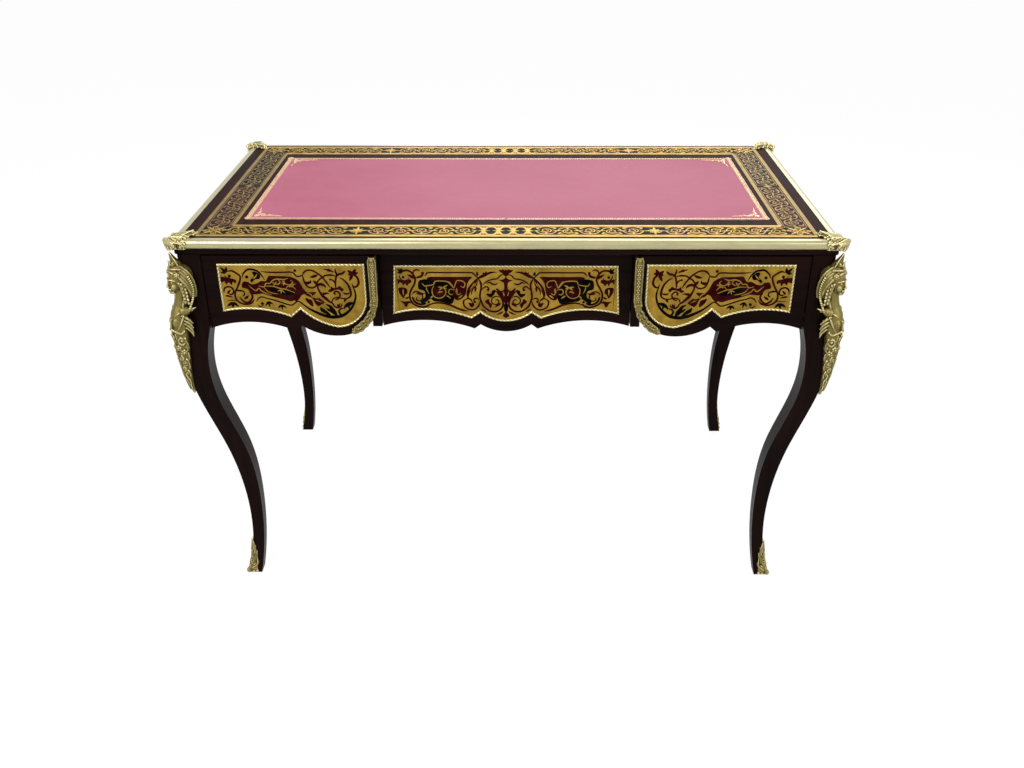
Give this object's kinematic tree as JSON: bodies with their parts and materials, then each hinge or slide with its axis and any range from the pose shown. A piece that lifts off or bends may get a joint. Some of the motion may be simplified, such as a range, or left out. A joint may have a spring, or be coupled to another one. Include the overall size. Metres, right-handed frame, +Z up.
{
  "type": "writing desk",
  "caption": "Flat-topped writing desk with leather top, drawers in a shaped frieze, cabriole legs, brass marquetry panels and gilt bronze mounts.",
  "frame": {"origin": "on the floor under the middle of the top", "axes": "+X along the desk to the sitter's right, -Y toward the sitter, +Z up"},
  "size_m": [1.2958, 0.7158, 0.794],
  "materials": {
    "dark_mahogany": "dark reddish brown polished wood",
    "drawer_wood": "plain unpolished wood",
    "red_leather": "crimson leather with a gilt tooled border",
    "brass_marquetry": "brass inlaid with dark red and black scrolls",
    "polished_brass": "pale polished brass",
    "gilt_bronze": "chased gilt bronze",
    "steel": "plain steel"
  },
  "bodies": {
    "carcass": {"back_bezels": "gilt_bronze", "back_corner_mounts": "gilt_bronze", "back_false_fronts": "dark_mahogany", "back_marquetry": "brass_marquetry", "back_rail": "dark_mahogany", "bust_back_left": "gilt_bronze", "bust_back_right": "gilt_bronze", "bust_front_left": "gilt_bronze", "bust_front_right": "gilt_bronze", "clasp_back_left": "gilt_bronze", "clasp_back_right": "gilt_bronze", "clasp_front_left": "gilt_bronze", "clasp_front_right": "gilt_bronze", "corner_blocks": "drawer_wood", "divider_left": "dark_mahogany", "divider_right": "dark_mahogany", "drawer_kickers": "drawer_wood", "drawer_runners": "drawer_wood", "edge_moulding_long": "polished_brass", "edge_moulding_short": "polished_brass", "front_rail": "dark_mahogany", "inner_crossbanding": "dark_mahogany", "leather_skiver": "red_leather", "leg_back_left": "dark_mahogany", "leg_back_right": "dark_mahogany", "leg_front_left": "dark_mahogany", "leg_front_right": "dark_mahogany", "outer_crossbanding": "dark_mahogany", "sabot_back_left": "gilt_bronze", "sabot_back_right": "gilt_bronze", "sabot_front_left": "gilt_bronze", "sabot_front_right": "gilt_bronze", "side_apron_left": "dark_mahogany", "side_apron_right": "dark_mahogany", "side_bezels": "gilt_bronze", "side_marquetry": "brass_marquetry", "top_board": "dark_mahogany", "top_marquetry": "brass_marquetry", "top_screws": "steel"},
    "left_drawer": {"left_drawer_back": "drawer_wood", "left_drawer_bezel": "gilt_bronze", "left_drawer_bottom": "drawer_wood", "left_drawer_corner_mount": "gilt_bronze", "left_drawer_front": "dark_mahogany", "left_drawer_marquetry": "brass_marquetry", "left_drawer_sides": "drawer_wood"},
    "centre_drawer": {"centre_drawer_back": "drawer_wood", "centre_drawer_bezel": "gilt_bronze", "centre_drawer_bottom": "drawer_wood", "centre_drawer_front": "dark_mahogany", "centre_drawer_marquetry": "brass_marquetry", "centre_drawer_sides": "drawer_wood"},
    "right_drawer": {"right_drawer_back": "drawer_wood", "right_drawer_bezel": "gilt_bronze", "right_drawer_bottom": "drawer_wood", "right_drawer_corner_mount": "gilt_bronze", "right_drawer_front": "dark_mahogany", "right_drawer_marquetry": "brass_marquetry", "right_drawer_sides": "drawer_wood"}
  },
  "joints": [
    {"name": "left_drawer_slide", "type": "slide", "parent": "carcass", "child": "left_drawer", "axis": [0, -1, 0], "range_m": [0, 0.3]},
    {"name": "centre_drawer_slide", "type": "slide", "parent": "carcass", "child": "centre_drawer", "axis": [0, -1, 0], "range_m": [0, 0.3]},
    {"name": "right_drawer_slide", "type": "slide", "parent": "carcass", "child": "right_drawer", "axis": [0, -1, 0], "range_m": [0, 0.3]}
  ]
}
